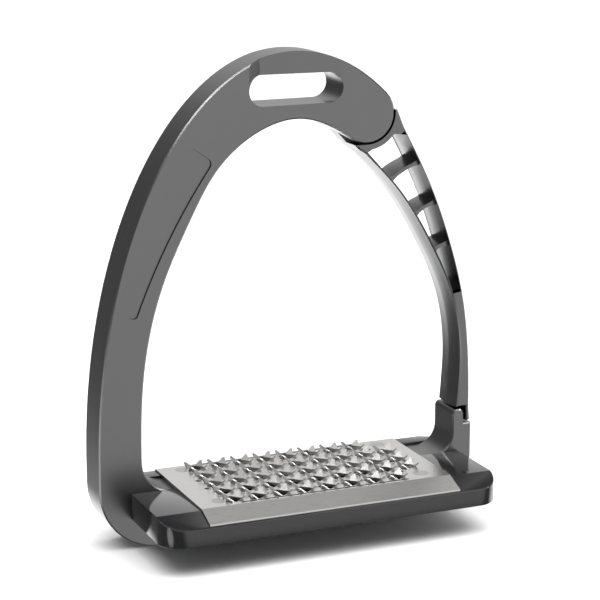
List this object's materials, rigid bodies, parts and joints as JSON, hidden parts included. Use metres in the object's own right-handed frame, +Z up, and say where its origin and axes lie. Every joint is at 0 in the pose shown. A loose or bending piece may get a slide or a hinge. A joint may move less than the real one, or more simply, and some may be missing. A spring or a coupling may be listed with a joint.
{
  "type": "stirrup iron",
  "caption": "Safety stirrup iron: arched frame with a leather slot, an outer arm that swings open on a pivot, and a wide footbed with a raised-tooth grip plate.",
  "frame": {"origin": "middle of the bar's flat underside, halfway along the tread and in the mid-plane of the frame", "axes": "+X along the tread towards the hinged arm, +Y across the frame towards the side the pivot screw is on (the wide side of the footbed is at -Y), +Z up to the leather slot"},
  "size_m": [0.1473, 0.0644, 0.1753],
  "materials": {
    "anodised_frame": "satin anodised, dark grey",
    "anodised_arm": "satin anodised, dark grey",
    "footbed": "gloss, near black grey",
    "grip_steel": "fine satin",
    "bright_steel": "polished",
    "screw_steel": "satin",
    "spring_steel": "as rolled",
    "bearing_plastic": "matt",
    "bronze": "turned"
  },
  "bodies": {
    "iron": {"frame": "anodised_frame", "footbed_base": "footbed", "grip_plate": "grip_steel", "pivot_screw": "bright_steel", "cup_washer": "bright_steel", "plate_screws": "screw_steel", "base_screws": "screw_steel", "disc_spring": "spring_steel", "detent_spring": "spring_steel", "detent_ball": "bright_steel", "lug_thread_insert": "screw_steel", "thrust_washer": "bearing_plastic", "base_inserts": "bronze"},
    "arm": {"safety_arm": "anodised_arm", "pivot_bush": "bronze"}
  },
  "joints": [
    {"name": "arm_swing", "type": "hinge", "parent": "iron", "child": "arm", "pos_m": [0.0266, 0, 0.1514], "axis": [0, -1, 0], "range_deg": [0, 57]}
  ]
}
